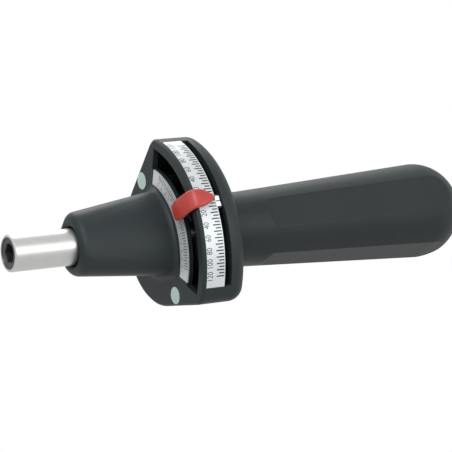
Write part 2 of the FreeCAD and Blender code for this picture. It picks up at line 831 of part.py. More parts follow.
def make_index_lever():
    """Hub, ring round the torsion bar's arc, arm, and the finger that drives the drag pointer.
    It is drawn about the dial centre."""
    body = new_body("index_lever")
    start, thickness = size["lever_start"], size["lever_thickness"]
    reach = size["dial_offset"]
    bore = size["pivot_radius"] + size["pivot_clearance"]
    slot_half = size["torsion_radius"] + size["torsion_play"]
    inner, outer = reach - slot_half, reach + slot_half
    # the bar's own width takes this angle at the slot's radius
    swing = size["index_swing"] + 16
    blade = add_sketch(body, "lever_shape", "YZ_Plane", start)
    draw_ring_sector(blade, inner - size["lever_rim"], outer + size["lever_rim"], swing + 9, 0)
    pad(body, blade, "lever_ring", thickness)
    arm = add_sketch(body, "arm_shape", "YZ_Plane", start)
    half = size["lever_half_width"]
    foot, tip = outer + 0.5, size["rim_radius"] - size["wall"] - 1.2
    draw_outline(arm, [(-half, foot), (half, foot), (half * 0.75, tip), (-half * 0.75, tip)])
    pad(body, arm, "lever_arm", thickness)
    add_round(body, "lever_hub", start, thickness, inner - size["lever_rim"] + 1.0, [(0, 0)])
    front = size["gear_start"] + size["gear_width"]
    add_round(body, "lever_sleeve", front, start + thickness - front, size["hub_radius"], [(0, 0)])
    slot = add_sketch(body, "bar_slot_shape", "YZ_Plane", start)
    draw_ring_sector(slot, inner, outer, swing, 0)
    pocket(body, slot, "bar_slot", thickness)
    cut_round(body, "lever_bore", front, start + thickness - front, bore, [(0, 0)])
    finger = add_sketch(body, "finger_shape", "YZ_Plane", pointer_foot_end() + size["running_gap"])
    low, high = finger_top() - size["finger_size"], finger_top()
    half = size["finger_size"] / 2
    draw_outline(finger, [(-half, low), (half, low), (half, high), (-half, high)])
    pad(body, finger, "drive_finger", start + thickness - pointer_foot_end() - size["running_gap"])
    return body


def finger_top():
    return size["rib_inner"] - size["running_gap"] - size["pointer_foot"] + size["finger_size"]


def make_index_flag():
    """The tab that shows in the index slot, with its root on the lever's arm."""
    body = new_body("index_flag")
    gap = size["running_gap"] * 0.7
    slot, width = size["index_slot_start"], size["index_slot_width"]
    top = size["rim_radius"] - size["scale_thickness"] - 0.7
    sketch = add_sketch(body, "flag_shape", "YZ_Plane", slot + gap)
    draw_ring_sector(sketch, top - size["flag_height"], top, size["flag_half_angle"], 0)
    pad(body, sketch, "flag", width - gap * 2)
    root = add_sketch(body, "flag_root_shape", "YZ_Plane", slot + gap)
    low, high = finger_top(), top - size["flag_height"] / 2
    half = size["lever_half_width"] * 0.75
    draw_outline(root, [(-half, low), (half, low), (half, high), (-half, high)])
    pad(body, root, "flag_root", size["lever_start"] - slot - gap)
    return body


def pointer_foot_end():
    return size["index_slot_start"] - 2.0


def make_drag_pointer():
    """A saddle on the rib: thumb block in front of the window, a bridge over the rib that ends in a
    point beside the index, and a foot behind the rib. It is drawn about the dial centre."""
    body = new_body("drag_pointer")
    gap = size["running_gap"]
    front, rim = size["head_front"], size["rim_radius"]
    face = front - gap
    crest = rim + size["pointer_rise"]
    under = rim + gap
    foot_high = size["rib_inner"] - gap
    foot_low = foot_high - size["pointer_foot"]
    block = front - size["pointer_front"]
    tip = size["index_slot_start"] - 0.4
    section = add_sketch(body, "saddle_section", "XZ_Plane")
    draw_outline(
        section,
        [
            (block, size["pointer_inner"]),
            (face, size["pointer_inner"]),
            (face, foot_low),
            (pointer_foot_end(), foot_low),
            (pointer_foot_end(), foot_high - size["spring_thickness"]),
            (face, foot_high - size["spring_thickness"]),
            (face, under),
            (tip, under),
            (tip, under + 0.7),
            (tip - 3.6, crest),
            (front + 0.5, crest),
            (block + 1.2, rim - 1.5),
            (block, rim - 5.5),
        ],
    )
    pad(body, section, "saddle", size["pointer_width"], middle=True)
    half = size["pointer_width"] / 2
    # the rear end narrows to a point in the middle
    for sign, name in ((1, "point_left"), (-1, "point_right")):
        shape = add_sketch(body, f"{name}_shape", "XY_Plane", foot_high + 1)
        side = half * sign
        draw_outline(shape, [(tip - 3.2, side), (tip, side * 0.12), (tip + 1, side * 0.12), (tip + 1, side * 1.3), (tip - 3.2, side * 1.3)])
        pocket(body, shape, name, dim(12))
    return body


def make_pointer_spring():
    """A bent leaf between the pointer's foot and the inside of the rib."""
    body = new_body("pointer_spring")
    gap = size["running_gap"]
    top = size["rib_inner"] - gap
    low = top - size["spring_thickness"]
    start, end = size["head_front"] - gap, pointer_foot_end()
    half = size["pointer_width"] / 2 - 0.5
    sketch = add_sketch(body, "leaf_shape", "XZ_Plane")
    draw_outline(sketch, [(start, low), (end, low), (end, top), (start, top)])
    pad(body, sketch, "leaf", half * 2, middle=True)
    return body


# ---------------------------------------------------------------- assembly


def at(x, y, z, turn=0):
    """A placement in the tool frame, turned about X by an angle in degrees."""
    return FreeCAD.Placement(FreeCAD.Vector(x, y, z), FreeCAD.Rotation(FreeCAD.Vector(1, 0, 0), turn))


def build_pieces():
    dial = at(0, 0, -size["dial_offset"].value)
    home = at(0, 0, 0)
    placed = [
        (make_front_housing(), home),
        (make_rear_housing(), home),
        (make_handle_grip(), home),
    ]
    for label, side in (("housing_screw_left", 1), ("housing_screw_right", -1)):
        placed.append((make_housing_screw(label), at(0, side * size["screw_side"].value, 0)))
    plate = size["scale_thickness"]
    placed += [
        (
            make_scale(
                "front_scale",
                size["head_front"],
                plate,
                size["front_scale_inner"],
                size["front_scale_outer"],
                size["front_scale_half_angle"],
            ),
            home,
        ),
        (
            make_scale(
                "rear_scale",
                size["rear_scale_start"],
                size["index_slot_start"] - size["rear_scale_start"],
                size["rim_radius"] - plate,
                size["rim_radius"],
                size["rear_scale_half_angle"],
            ),
            home,
        ),
        (make_bush("front_bush", front_bush_start()), home),
        (make_bush("rear_bush", rear_bush_start()), home),
        (make_pivot_pin(), dial),
        (make_torsion_bar(), home),
        (make_torsion_anchor(), home),
        (make_drive_sleeve(), home),
        (make_hex_socket(), home),
        (make_bit_magnet(), home),
        (make_bit_clip(), home),
        (make_spindle_shaft(), home),
        (make_retaining_ring(), home),
        (make_thrust_washer(), home),
    ]
    teeth = size["gear_teeth"]
    pinion_teeth = size["dial_offset"] * 2 / size["gear_module"] - teeth
    placed.append((make_gear("drive_gear", teeth, size["shaft_radius"], 1), home))
    # a tooth of the pinion stands on the middle line where the gear has a gap
    half_tooth = 180 / teeth.value
    placed[-1] = (placed[-1][0], at(0, 0, 0, half_tooth))
    bore = size["pivot_radius"] + size["pivot_clearance"]
    placed.append((make_gear("index_pinion", pinion_teeth, bore, 1), dial))
    placed.append((make_index_lever(), dial))
    placed.append((make_index_flag(), dial))
    pointer = at(0, 0, -size["dial_offset"].value, size["pointer_angle"].value)
    placed.append((make_drag_pointer(), pointer))
    placed.append((make_pointer_spring(), pointer))
    return placed


def lay_down(placed):
    """Turns every piece about the spindle, so that a flat side of the head faces straight down."""
    roll = at(0, 0, 0, 90 - size["flare_angle"].value)
    for piece, place in placed:
        piece.Placement = roll * place
    doc.recompute()
    return roll


def check_document(placed):
    for thing in doc.Objects:
        if "Invalid" in thing.State or "Error" in thing.State:
            raise RuntimeError(f"{thing.Label} failed: {thing.State}")
    for piece, _ in placed:
        shape = piece.Shape
        if shape.isNull() or not shape.isValid() or not shape.Solids:
            raise RuntimeError(f"{piece.Label} has no valid solid")


def export(placed):
    os.makedirs("parts", exist_ok=True)
    for piece, _ in placed:
        piece.Shape.exportStep(os.path.join("parts", f"{piece.Label}.step"))


placed = build_pieces()
tool_frame = lay_down(placed)
check_document(placed)
export(placed)
print("tool frame in the row:", tool_frame)
for piece, _ in placed:
    print(f"{piece.Label}: {len(piece.Shape.Solids)} solid, {piece.Shape.Volume:.1f} mm3")
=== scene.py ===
import json
import math

import bpy
from bpy.props import FloatProperty, FloatVectorProperty, IntProperty, PointerProperty
from mathutils import Matrix, Vector


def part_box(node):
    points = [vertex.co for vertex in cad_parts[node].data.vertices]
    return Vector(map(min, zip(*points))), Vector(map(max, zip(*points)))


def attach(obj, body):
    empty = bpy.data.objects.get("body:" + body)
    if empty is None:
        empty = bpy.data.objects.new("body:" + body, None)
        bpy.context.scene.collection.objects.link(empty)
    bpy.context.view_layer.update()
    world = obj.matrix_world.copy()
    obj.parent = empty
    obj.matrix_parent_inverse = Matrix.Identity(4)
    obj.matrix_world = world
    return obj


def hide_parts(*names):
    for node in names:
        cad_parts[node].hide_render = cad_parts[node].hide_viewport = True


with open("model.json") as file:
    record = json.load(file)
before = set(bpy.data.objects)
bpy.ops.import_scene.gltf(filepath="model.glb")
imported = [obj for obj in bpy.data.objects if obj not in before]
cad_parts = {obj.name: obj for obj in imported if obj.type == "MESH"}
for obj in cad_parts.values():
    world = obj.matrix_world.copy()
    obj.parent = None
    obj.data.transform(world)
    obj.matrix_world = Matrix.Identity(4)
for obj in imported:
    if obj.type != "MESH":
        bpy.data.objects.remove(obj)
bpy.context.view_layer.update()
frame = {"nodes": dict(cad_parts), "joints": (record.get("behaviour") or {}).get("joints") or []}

bl_info = {
    "name": "Torque screwdriver dress",
    "version": (1, 0, 0),
    "blender": (4, 5, 0),
    "location": "View3D > Sidebar > Torque",
    "description": "Finishes, dial prints, drag pointer and studio for an indicating torque screwdriver",
    "category": "Object",
}

MM = 0.001
NODES = frame["nodes"]
NARROW_DIGITS = 0.80  # width of the digits against the font's own
CAP_HEIGHT = 0.70  # height of a digit against the font's size


# ------------------------------------------------------------------ places, read from the frame


def joint_centre(name):
    joint = next(j for j in frame["joints"] if j["name"] == name)
    return Vector(joint["pos_m"])


def across_axis(point):
    """The same point without its place along the spindle, which is X."""
    return Vector((0.0, point.y, point.z))


SPINDLE = across_axis(joint_centre("spindle_turn"))
DIAL = across_axis(joint_centre("index_swing"))
ALONG = Vector((1.0, 0.0, 0.0))
OUT = (SPINDLE - DIAL).normalized()
SIDE = OUT.cross(ALONG)


def span(node):
    """Front and rear of a node along the spindle."""
    low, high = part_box(node)
    return low[0], high[0]


def radii(node):
    """Smallest and largest distance of a node's points from the dial's axis."""
    found = [across_axis(v.co - DIAL).length for v in NODES[node].data.vertices]
    return min(found), max(found)


def dial_point(x, radius, angle):
    """A point about the dial centre; the angle runs from the window's middle towards SIDE."""
    turned = OUT * math.cos(angle) + SIDE * math.sin(angle)
    return ALONG * x + DIAL + turned * radius


# ------------------------------------------------------------------ sizes and colours for the user


def length_setting(name, description, millimetres):
    return FloatProperty(name=name, description=description, default=millimetres * MM, unit="LENGTH")


def angle_setting(name, description, degrees):
    return FloatProperty(name=name, description=description, default=math.radians(degrees), subtype="ANGLE")


def colour_setting(name, description, red_green_blue):
    return FloatVectorProperty(name=name, description=description, default=red_green_blue, subtype="COLOR")


def count_setting(name, description, default):
    return IntProperty(name=name, description=description, default=default)


class DialSettings(bpy.types.PropertyGroup):
    swing: angle_setting("Swing", "Angle from zero to full scale", 37)
    print_depth: length_setting("Print depth", "Thickness of the print", 0.03)
    full_scale: count_setting("Full scale", "Largest number on the rear scale", 120)
    label_step: count_setting("Label step", "Units from one number to the next", 20)
    long_step: count_setting("Long mark step", "Units from one long mark to the next", 10)
    short_step: count_setting("Short mark step", "Units from mark to mark", 5)
    number_height: length_setting("Number height", "Height of the rear scale's numbers", 2.15)
    mark_width: length_setting("Mark width", "Width of a rear mark", 0.44)
    long_mark: length_setting("Long mark", "Length of a long rear mark", 3.0)
    short_mark: length_setting("Short mark", "Length of a short rear mark", 2.1)
    mark_margin: length_setting("Mark margin", "Rear marks to the edge of the scale", 0.35)
    small_full_scale: count_setting("Small full scale", "Largest number on the front scale", 12)
    small_step: count_setting("Small label step", "Units from one small number to the next", 2)
    small_marks: count_setting("Small marks", "Steps between marks over the whole front scale", 38)
    small_number_height: length_setting("Small number height", "Height of the front scale's numbers", 0.95)
    small_mark_width: length_setting("Small mark width", "Width of a front mark", 0.28)
    small_mark_margin: length_setting("Small mark margin", "Front marks to the edge of the scale", 0.3)


class IndexSettings(bpy.types.PropertyGroup):
    field_length: length_setting("Field length", "White fields along the spindle", 2.05)
    field_edge: length_setting("Field edge", "White fields behind the front of the flag", 0.12)
    field_depth: length_setting("Field depth", "Thickness of the white fields", 0.05)
    field_angle: angle_setting("Field angle", "Far side of a white field from the middle", 2.75)
    line_angle: angle_setting("Line angle", "Half of the black line between the fields", 0.28)


class PointerSettings(bpy.types.PropertyGroup):
    half_width: length_setting("Half width", "Half the pointer's width at the saddle", 3.5)
    thickness: length_setting("Thickness", "Pointer over the rim", 2.2)
    thumb: length_setting("Thumb block", "Pointer in front of the head", 3.4)
    nib: length_setting("Nib", "Thickness of the point", 0.4)
    softness: FloatProperty(name="Softness", description="Rounding of the section, 0 to 1", default=0.6)


class FinishSettings(bpy.types.PropertyGroup):
    housing: colour_setting("Housing", "Moulded head", (0.0112, 0.0162, 0.0178))
    handle: colour_setting("Handle", "Moulded handle", (0.0092, 0.0134, 0.0146))
    pointer: colour_setting("Pointer", "Drag pointer", (0.34, 0.026, 0.020))
    scale: colour_setting("Scales", "Scale plates", (0.50, 0.53, 0.54))
    print_ink: colour_setting("Print", "Numbers and marks", (0.012, 0.014, 0.015))
    sleeve: colour_setting("Sleeve", "Drive sleeve", (0.50, 0.50, 0.49))
    screw: colour_setting("Screws", "Housing screws", (0.42, 0.55, 0.52))
    grain: length_setting("Grain", "Depth of the moulded grain", 0.040)
    edge: length_setting("Edge", "Softness of moulded edges", 0.35)


class StageSettings(bpy.types.PropertyGroup):
    azimuth: angle_setting("Azimuth", "Camera's heading from +Y towards +X", 30.25)
    roll: angle_setting("Roll", "Camera's roll", -5.99)
    lens: FloatProperty(name="Lens", description="Focal length in millimetres", default=159.3)
    camera: FloatVectorProperty(
        name="Camera",
        description="Camera's place",
        default=(-0.2791, -0.6274, 0.0016),
        unit="LENGTH",
        subtype="XYZ",
    )


# ------------------------------------------------------------------ shader maths


class Signal:
    """A shader socket that arithmetic can be written on."""

    def __init__(self, shader, socket):
        self.shader = shader
        self.socket = socket

    def _math(self, operation, *values):
        node = self.shader.node("ShaderNodeMath", {"operation": operation}, dict(enumerate(values)))
        return Signal(self.shader, node.outputs[0])

    def __add__(self, other):
        return self._math("ADD", self, other)

    def __mul__(self, other):
        return self._math("MULTIPLY", self, other)


class Shader:
    """Builds one material around a Principled BSDF."""

    def __init__(self, name):
        self.material = bpy.data.materials.new(name)
        self.material.use_nodes = True
        self.tree = self.material.node_tree
        self.tree.nodes.clear()
        self.surface = self.node("ShaderNodeBsdfPrincipled")
        self.out = self.node("ShaderNodeOutputMaterial", {}, {"Surface": self.surface.outputs["BSDF"]})
        place = self.node("ShaderNodeTexCoord")
        self.place = place.outputs["Object"]

    def node(self, kind, settings=None, sockets=None):
        node = self.tree.nodes.new(kind)
        for name, value in (settings or {}).items():
            setattr(node, name, value)
        for name, value in (sockets or {}).items():
            self.feed(node.inputs[name], value)
        return node

    def feed(self, socket, value):
        """Links a socket to another one's value, or sets it to a plain value."""
        if isinstance(value, Signal):
            value = value.socket
        if isinstance(value, bpy.types.NodeSocket):
            self.tree.links.new(value, socket)
        else:
            socket.default_value = value

    def set(self, **sockets):
        """Sets the surface's sockets; an underscore in a name stands for a space."""
        for name, value in sockets.items():
            self.feed(self.surface.inputs[name.replace("_", " ")], value)

    def stretched(self, x, y, z):
        sockets = {"Vector": self.place, "Scale": (x, y, z)}
        return self.node("ShaderNodeMapping", {"vector_type": "POINT"}, sockets).outputs["Vector"]

    def noise(self, scale, detail=3.0, roughness=0.55, vector=None):
        node = self.node(
            "ShaderNodeTexNoise",
            {},
            {"Vector": vector or self.place, "Scale": scale, "Detail": detail, "Roughness": roughness},
        )
        return Signal(self, node.outputs["Fac"])

    def cells(self, scale):
        node = self.node("ShaderNodeTexVoronoi", {"feature": "F1"}, {"Vector": self.place, "Scale": scale})
        return Signal(self, node.outputs["Distance"])

    def mix(self, factor, dark, light):
        node = self.node("ShaderNodeMix", {"data_type": "RGBA"}, {0: factor, 6: rgba(dark), 7: rgba(light)})
        return node.outputs[2]

    def soft_edges(self, radius):
        return self.node("ShaderNodeBevel", {"samples": 6}, {"Radius": radius}).outputs["Normal"]

    def bump(self, height, distance, normal=None):
        sockets = {"Height": height, "Distance": distance, "Strength": 1.0}
        if normal is not None:
            sockets["Normal"] = normal
        return self.node("ShaderNodeBump", {}, sockets).outputs["Normal"]


def rgba(tone):
    return (*tone[:3], 1.0)


def scaled(tone, factor):
    return tuple(part * factor for part in tone)


# ------------------------------------------------------------------ finishes

STEEL = (0.55, 0.55, 0.54)
BLACK_STEEL = (0.045, 0.047, 0.05)
SPRING_STEEL = (0.40, 0.41, 0.43)
BRONZE = (0.55, 0.36, 0.18)
BRASS = (0.78, 0.60, 0.28)
NICKEL = (0.5, 0.5, 0.5)
LACQUER = (0.010, 0.011, 0.012)
INDEX_WHITE = (0.80, 0.83, 0.86)
TURNING_LINES = 5200.0
TURNING_DEPTH = 0.0003 * MM
METAL_GRAIN_DEPTH = 0.006 * MM
PLATE_GRAIN_DEPTH = 0.004 * MM
POINTER_GRAIN_DEPTH = 0.012 * MM


def moulded_plastic(name, tone, grain, edge):
    """Satin spark-eroded plastic: an even fine grain that scatters light, and softened edges."""
    shader = Shader(name)
    cloud = shader.noise(55.0, 2.0)
    fine = shader.noise(2600.0, 2.0, 0.6)
    pits = shader.cells(1900.0)
    shade = cloud * 0.35 + fine * 0.65
    shader.set(
        Base_Color=shader.mix(shade, scaled(tone, 0.50), scaled(tone, 1.60)),
        Roughness=fine * 0.16 + 0.44,
        Normal=shader.bump(fine * 0.7 + pits * 0.5, grain, shader.soft_edges(edge)),
    )
    shader.surface.inputs["Specular IOR Level"].default_value = 0.26
    return shader.material


def turned_metal(name, tone, roughness=0.38):
    """Metal with fine turning lines round the spindle."""
    shader = Shader(name)
    rings = shader.noise(1.0, 2.0, 0.6, shader.stretched(TURNING_LINES, 90.0, 90.0))
    haze = shader.noise(140.0, 3.0)
    shader.set(
        Base_Color=shader.mix(haze * 0.8 + rings * 0.2, scaled(tone, 0.92), scaled(tone, 1.04)),
        Metallic=1.0,
        Roughness=rings * 0.04 + haze * 0.08 + (roughness - 0.06),
        Normal=shader.bump(rings, TURNING_DEPTH),
    )
    return shader.material


def grained_metal(name, tone, roughness, grain_scale=1400.0, metallic=1.0):
    """Plated, sintered or blackened metal with a fine even grain."""
    shader = Shader(name)
    grain = shader.noise(grain_scale, 3.0, 0.6)
    cloud = shader.noise(160.0, 2.0)
    shader.set(
        Base_Color=shader.mix(grain * 0.5 + cloud * 0.5, scaled(tone, 0.8), scaled(tone, 1.12)),
        Metallic=metallic,
        Roughness=grain * 0.18 + (roughness - 0.09),
        Normal=shader.bump(grain, METAL_GRAIN_DEPTH),
    )
    return shader.material


def printed_plate(name, tone):
    """Satin scale plate with a fine even grain."""
    shader = Shader(name)
    grain = shader.noise(3200.0, 2.0)
    cloud = shader.noise(120.0, 2.0)
    shader.set(
        Base_Color=shader.mix(grain * 0.4 + cloud * 0.6, scaled(tone, 0.90), scaled(tone, 1.05)),
        Metallic=0.25,
        Roughness=grain * 0.12 + 0.36,
        Normal=shader.bump(grain, PLATE_GRAIN_DEPTH),
    )
    return shader.material


def ink(name, tone, roughness=0.5):
    shader = Shader(name)
    grain = shader.noise(2800.0, 2.0)
    shader.set(
        Base_Color=shader.mix(grain, scaled(tone, 0.8), scaled(tone, 1.2)),
        Roughness=grain * 0.1 + (roughness - 0.05),
    )
    return shader.material


def pointer_plastic(name, tone):
    """Bright moulded plastic, a little cloudy, with a soft sheen."""
    shader = Shader(name)
    cloud = shader.noise(260.0, 3.0)
    grain = shader.noise(3000.0, 2.0)
    shader.set(
        Base_Color=shader.mix(cloud, scaled(tone, 0.84), scaled(tone, 1.12)),
        Roughness=grain * 0.12 + 0.38,
        Normal=shader.bump(grain * 0.6 + cloud * 0.4, POINTER_GRAIN_DEPTH),
    )
    shader.surface.inputs["Subsurface Weight"].default_value = 0.06
    shader.surface.inputs["Subsurface Radius"].default_value = (0.002, 0.0005, 0.0004)
    shader.surface.inputs["Subsurface Scale"].default_value = 0.4
    return shader.material


def dress(piece, material):
    piece.data.materials.clear()
    piece.data.materials.append(material)


class TORQUE_OT_finishes(bpy.types.Operator):
    """Gives every piece of the frame its finish"""

    bl_idname = "torque.finishes"
    bl_label = "Finish the CAD pieces"

    def execute(self, context):
        finish = context.scene.torque_finish
        housing = moulded_plastic("housing plastic", finish.housing, finish.grain, finish.edge)
        handle = moulded_plastic("handle plastic", finish.handle, finish.grain, finish.edge)
        sleeve = turned_metal("satin nickel", finish.sleeve)
        steel = turned_metal("ground steel", STEEL, 0.3)
        black_steel = grained_metal("blackened steel", BLACK_STEEL, 0.42, metallic=0.7)
        bronze = grained_metal("sintered bronze", BRONZE, 0.45)
        brass = grained_metal("cut brass", BRASS, 0.30)
        zinc = grained_metal("passivated zinc", finish.screw, 0.45, 900.0, metallic=0.35)
        spring = grained_metal("spring steel", SPRING_STEEL, 0.33)
        plate = printed_plate("scale plate", finish.scale)
        black = ink("black lacquer", LACQUER, 0.6)
        red = pointer_plastic("pointer plastic", finish.pointer)
        finishes = {
            "front_housing": housing,
            "rear_housing": housing,
            "handle_grip": handle,
            "drive_sleeve": sleeve,
            "spindle_shaft": steel,
            "torsion_bar": steel,
            "torsion_anchor": steel,
            "index_pivot_pin": steel,
            "hex_socket": black_steel,
            "bit_magnet": grained_metal("nickel-plated magnet", NICKEL, 0.3),
            "front_bush": bronze,
            "rear_bush": bronze,
            "thrust_washer": bronze,
            "drive_gear": brass,
            "index_pinion": brass,
            "housing_screw_left": zinc,
            "housing_screw_right": zinc,
            "front_scale": plate,
            "rear_scale": plate,
            "index_flag": black,
            "drag_pointer": red,
        }
        for name, node in NODES.items():
            dress(node, finishes.get(name, spring))
        return {"FINISHED"}


# ------------------------------------------------------------------ modelling helpers


def deselect():
    if bpy.context.object and bpy.context.object.mode != "OBJECT":
        bpy.ops.object.mode_set(mode="OBJECT")
    bpy.ops.object.select_all(action="DESELECT")


def make_active(piece):
    deselect()
    piece.select_set(True)
    bpy.context.view_layer.objects.active = piece


def bent_copy(piece, place):
    """A copy of a mesh piece whose points go through place(point)."""
    copy = piece.copy()
    copy.data = piece.data.copy()
    bpy.context.collection.objects.link(copy)
    for vertex in copy.data.vertices:
        vertex.co = place(vertex.co)
    return copy


def join(pieces, name):
    deselect()
    for piece in pieces:
        piece.select_set(True)
    bpy.context.view_layer.objects.active = pieces[0]
    bpy.ops.object.join()
    joined = bpy.context.object
    joined.name = name
    joined.data.name = name
    return joined


def delete(piece):
    make_active(piece)
    bpy.ops.object.delete()


def bar(width, length, depth):
    """A flat bar: X across, Y along from 0, Z up from 0."""
    deselect()
    bpy.ops.mesh.primitive_cube_add(size=1.0)
    piece = bpy.context.object
    bpy.ops.object.mode_set(mode="EDIT")
    bpy.ops.mesh.select_all(action="SELECT")
    bpy.ops.transform.resize(value=(width, length, depth))
    bpy.ops.transform.translate(value=(0.0, length / 2, depth / 2))
    bpy.ops.object.mode_set(mode="OBJECT")
    return piece


def subdivide(piece, cuts):
    """Splits every edge of a piece, so that it can bend."""
    make_active(piece)
    bpy.ops.object.mode_set(mode="EDIT")
    bpy.ops.mesh.select_all(action="SELECT")
    bpy.ops.mesh.subdivide(number_cuts=cuts)
    bpy.ops.object.mode_set(mode="OBJECT")


def number(text, height, depth):
    """A plain number as a flat mesh, centred, reading along X with its top towards Y."""
    deselect()
    bpy.ops.object.text_add()
    piece = bpy.context.object
    piece.data.body = text
    piece.data.size = height / CAP_HEIGHT
    piece.data.align_x = "CENTER"
    piece.data.align_y = "CENTER"
    piece.data.extrude = depth / 2
    piece.data.resolution_u = 4
    piece.scale.x = NARROW_DIGITS
    bpy.ops.object.convert(target="MESH")
    bpy.ops.object.transform_apply(location=False, rotation=False, scale=True)
    return bpy.context.object


def on_drum(radius, x, angle):
    """Lays flat artwork on the drum: X of the artwork runs along the scale, Y towards the front."""

    def place(point):
        return dial_point(x - point.y, radius + point.z, angle + point.x / radius)

    return place


def on_face(face, radius, angle):
    """Lays flat artwork on the front face: X of the artwork runs along the scale, Y inwards."""

    def place(point):
        return dial_point(face - point.z, radius - point.y, angle + point.x / radius)

    return place


# ------------------------------------------------------------------ dial prints


NUMBER_ROW = 0.62  # middle of the rear numbers from the front edge, against their height
SMALL_NUMBER_ROW = 0.26  # middle of the front numbers from the inner edge, against the scale's height
LONG_SHARE, SHORT_SHARE = 0.50, 0.36  # front marks against the scale's height


def unit_angle(dial, value):
    return dial.swing * value / dial.full_scale


def signed_steps(first, last, step):
    """Every step from first to last, on both sides of zero."""
    values = range(first, last + 1, step)
    return [sign * value for value in values for sign in (1, -1) if value or sign > 0]


class TORQUE_OT_rear_print(bpy.types.Operator):
    """Marks and numbers of the rear scale, laid on the drum"""

    bl_idname = "torque.rear_print"
    bl_label = "Rear scale print"

    def execute(self, context):
        dial = context.scene.torque_dial
        drum = radii("rear_scale")[1]
        front, rear = span("rear_scale")
        mark_end = rear - dial.mark_margin
        prints = []
        for is_long in (True, False):
            length = dial.long_mark if is_long else dial.short_mark
            mark = bar(dial.mark_width, length, dial.print_depth)
            for value in signed_steps(0, dial.full_scale, dial.short_step):
                if (value % dial.long_step == 0) == is_long:
                    prints.append(bent_copy(mark, on_drum(drum, mark_end, unit_angle(dial, value))))
            delete(mark)
        middle = front + NUMBER_ROW * dial.number_height
        for value in signed_steps(dial.label_step, dial.full_scale, dial.label_step):
            text = number(str(abs(value)), dial.number_height, dial.print_depth)
            prints.append(bent_copy(text, on_drum(drum, middle, unit_angle(dial, value))))
            delete(text)
        piece = join(prints, "rear_scale_print")
        dress(piece, ink("scale ink", context.scene.torque_finish.print_ink))
        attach(piece, "housing")
        return {"FINISHED"}


class TORQUE_OT_front_print(bpy.types.Operator):
    """Fine marks and small numbers of the front scale"""

    bl_idname = "torque.front_print"
    bl_label = "Front scale print"

    def execute(self, context):
        dial = context.scene.torque_dial
        inner, outer = radii("front_scale")
        face = span("front_scale")[0]
        height = outer - inner
        mark_end = outer - dial.small_mark_margin
        row = inner + SMALL_NUMBER_ROW * height
        half = dial.small_marks // 2
        prints = []
        for is_long in (True, False):
            share = LONG_SHARE if is_long else SHORT_SHARE
            mark = bar(dial.small_mark_width, share * height, dial.print_depth)
            for index in range(-half, half + 1):
                if (index % 2 == 0) == is_long:
                    turned = dial.swing * 2 * index / dial.small_marks
                    prints.append(bent_copy(mark, on_face(face, mark_end, turned)))
            delete(mark)
        for value in signed_steps(dial.small_step, dial.small_full_scale, dial.small_step):
            text = number(str(abs(value)), dial.small_number_height, dial.print_depth)
            turned = dial.swing * value / dial.small_full_scale
            prints.append(bent_copy(text, on_face(face, row, turned)))
            delete(text)
        piece = join(prints, "front_scale_print")
        dress(piece, ink("fine scale ink", context.scene.torque_finish.print_ink))
        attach(piece, "housing")
        return {"FINISHED"}


FIELD_CUTS = 6


class TORQUE_OT_index_marks(bpy.types.Operator):
    """The two white fields of the index, with a black line between them"""

    bl_idname = "torque.index_marks"
    bl_label = "Index marks"

    def execute(self, context):
        marks = context.scene.torque_index
        top = radii("index_flag")[1]
        rear = span("index_flag")[0] + marks.field_edge + marks.field_length
        width = (marks.field_angle - marks.line_angle) * top
        middle = (marks.field_angle + marks.line_angle) / 2
        fields = []
        for side in (1, -1):
            plate = bar(width, marks.field_length, marks.field_depth)
            subdivide(plate, FIELD_CUTS)
            fields.append(bent_copy(plate, on_drum(top, rear, side * middle)))
            delete(plate)
        piece = join(fields, "index_marks")
        dress(piece, ink("index white", INDEX_WHITE, 0.4))
        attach(piece, "index")
        return {"FINISHED"}


# ------------------------------------------------------------------ drag pointer


def middle_angle(node):
    """Angle of a node's middle about the dial centre."""
    arms = [across_axis(v.co - DIAL) for v in NODES[node].data.vertices]
    angles = [math.atan2(arm.dot(SIDE), arm.dot(OUT)) for arm in arms]
    return (min(angles) + max(angles)) / 2


def between(stations, place):
    """A value read off evenly spaced stations; place runs from 0 to 1."""
    reach = place * (len(stations) - 1)
    index = min(int(reach), len(stations) - 2)
    return stations[index] + (stations[index + 1] - stations[index]) * (reach - index)


SADDLE_CUTS = 13  # two stretches from station to station


